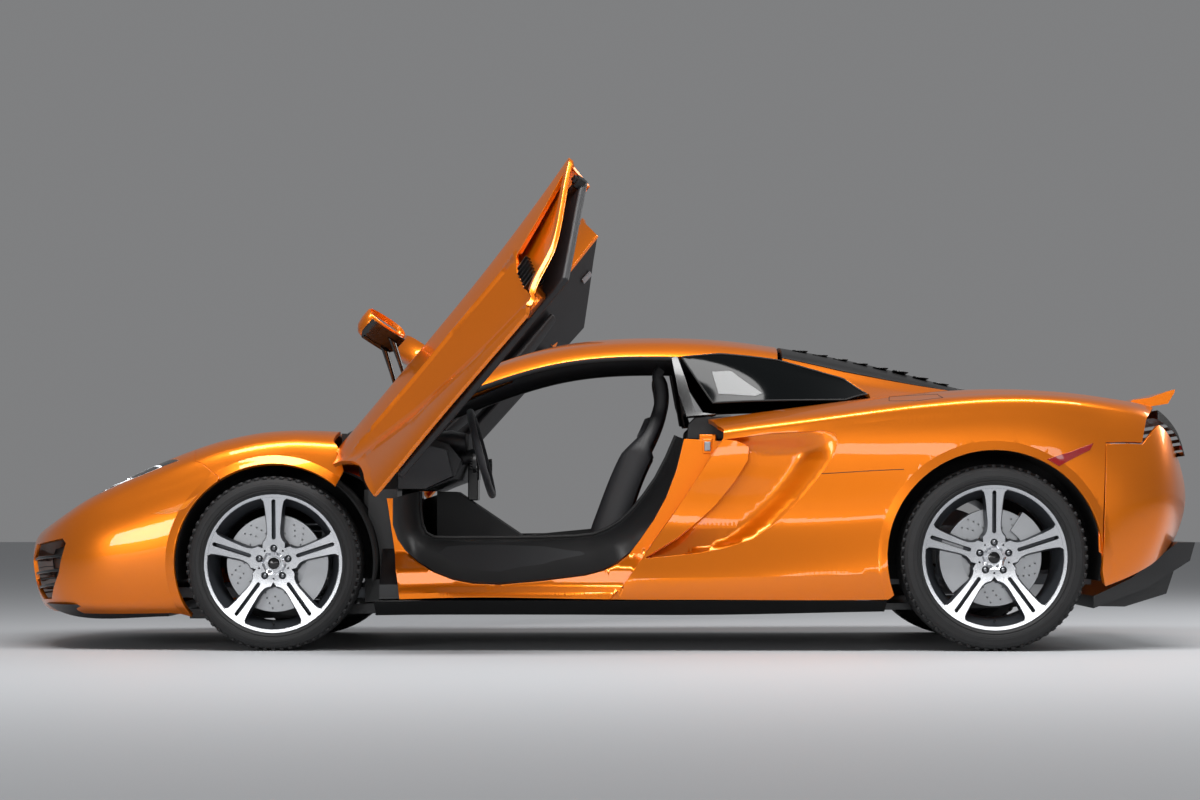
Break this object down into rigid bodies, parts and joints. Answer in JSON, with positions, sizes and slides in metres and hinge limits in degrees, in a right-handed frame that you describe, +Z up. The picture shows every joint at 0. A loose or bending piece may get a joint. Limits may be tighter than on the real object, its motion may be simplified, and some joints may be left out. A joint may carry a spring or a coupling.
{
  "type": "supercar",
  "caption": "Low mid-engined two-seat coupe with forward-swinging dihedral doors, rolling and steering road wheels, opening bonnet and rear air brake.",
  "frame": {"origin": "on the ground, under the middle of the car's length", "axes": "+Z up, -X towards the nose, -Y to the car's left side"},
  "size_m": [4.508, 3.2418, 1.824],
  "materials": {
    "paint": "metallic orange lacquer, high gloss",
    "black_trim": "satin black moulded plastic",
    "carbon": "satin black carbon-fibre tub",
    "glass": "dark tinted glazing",
    "lamp_glass": "clear lamp cover",
    "lamp_red": "red lamp lens",
    "trim_leather": "black stitched leather over padding",
    "seat_leather": "black leather and microfibre",
    "steel": "brushed stainless steel",
    "engine_metal": "cast aluminium, matt",
    "brake_metal": "machined and coated aluminium",
    "wheel_metal": "diamond-cut silver faces, dark grey sides",
    "tyre": "black road rubber"
  },
  "bodies": {
    "chassis": {"arch_liners": "black_trim", "centre_console": "trim_leather", "cowl": "black_trim", "dashboard": "trim_leather", "diffuser": "black_trim", "engine_block": "engine_metal", "engine_cover": "black_trim", "exhaust_tips": "steel", "front_bumper": "paint", "front_fender_left": "paint", "front_fender_right": "paint", "front_frame": "brake_metal", "front_intakes": "black_trim", "front_wishbones": "brake_metal", "headlamps": "lamp_glass", "luggage_tub": "black_trim", "quarter_glass": "glass", "rear_bumper": "paint", "rear_frame": "brake_metal", "rear_grille": "black_trim", "rear_quarter_left": "paint", "rear_quarter_right": "paint", "rear_uprights": "brake_metal", "roof": "paint", "seat_left": "seat_leather", "seat_right": "seat_leather", "side_intakes": "black_trim", "side_skirts": "black_trim", "splitter": "black_trim", "tail_lamps": "lamp_red", "tub": "carbon", "underfloor": "black_trim", "windscreen": "glass"},
    "door_left": {"door_left_skin": "paint", "door_left_casing": "trim_leather", "door_left_mirror": "paint"},
    "door_right": {"door_right_skin": "paint", "door_right_casing": "trim_leather", "door_right_mirror": "paint"},
    "bonnet": {"bonnet": "paint"},
    "air_brake": {"air_brake": "paint"},
    "steering_wheel": {"steering_wheel": "trim_leather"},
    "knuckle_front_left": {"front_knuckle_left": "brake_metal"},
    "knuckle_front_right": {"front_knuckle_right": "brake_metal"},
    "wheel_front_left": {"tyre_front_left": "tyre", "rim_front_left": "wheel_metal"},
    "wheel_front_right": {"tyre_front_right": "tyre", "rim_front_right": "wheel_metal"},
    "wheel_rear_left": {"tyre_rear_left": "tyre", "rim_rear_left": "wheel_metal"},
    "wheel_rear_right": {"tyre_rear_right": "tyre", "rim_rear_right": "wheel_metal"}
  },
  "joints": [
    {"name": "door_left_hinge", "type": "hinge", "parent": "chassis", "child": "door_left", "pos_m": [-0.954, -0.85, 0.752], "axis": [-0.679, -0.51, -0.528], "range_deg": [-71.2, 0]},
    {"name": "door_right_hinge", "type": "hinge", "parent": "chassis", "child": "door_right", "pos_m": [-0.954, 0.85, 0.752], "axis": [0.679, -0.51, 0.528], "range_deg": [-71.2, 0]},
    {"name": "bonnet_hinge", "type": "hinge", "parent": "chassis", "child": "bonnet", "pos_m": [-1.01, 0, 0.796], "axis": [0, 1, 0], "range_deg": [0, 60]},
    {"name": "air_brake_hinge", "type": "hinge", "parent": "chassis", "child": "air_brake", "pos_m": [1.99, 0, 0.93], "axis": [0, -1, 0], "range_deg": [0, 60]},
    {"name": "steer_left", "type": "hinge", "parent": "chassis", "child": "knuckle_front_left", "pos_m": [-1.2345, -0.79, 0.3235], "axis": [0, 0, 1], "range_deg": [-28, 28]},
    {"name": "steer_right", "type": "hinge", "parent": "chassis", "child": "knuckle_front_right", "pos_m": [-1.2345, 0.79, 0.3235], "axis": [0, 0, 1], "range_deg": [-28, 28]},
    {"name": "steering_wheel_turn", "type": "hinge", "parent": "chassis", "child": "steering_wheel", "pos_m": [-0.492, -0.37, 0.741], "axis": [0.9664, 0, 0.2571], "range_deg": [-450, 450]},
    {"name": "spin_front_left", "type": "hinge", "parent": "knuckle_front_left", "child": "wheel_front_left", "pos_m": [-1.2345, -0.828, 0.3235], "axis": [0, 1, 0], "continuous": true},
    {"name": "spin_front_right", "type": "hinge", "parent": "knuckle_front_right", "child": "wheel_front_right", "pos_m": [-1.2345, 0.828, 0.3235], "axis": [0, 1, 0], "continuous": true},
    {"name": "spin_rear_left", "type": "hinge", "parent": "chassis", "child": "wheel_rear_left", "pos_m": [1.4355, -0.7915, 0.3455], "axis": [0, 1, 0], "continuous": true},
    {"name": "spin_rear_right", "type": "hinge", "parent": "chassis", "child": "wheel_rear_right", "pos_m": [1.4355, 0.7915, 0.3455], "axis": [0, 1, 0], "continuous": true}
  ],
  "couplings": [
    {"joint": "steer_right", "follows": "steer_left", "ratio": 1},
    {"joint": "steering_wheel_turn", "follows": "steer_left", "ratio": 15}
  ]
}
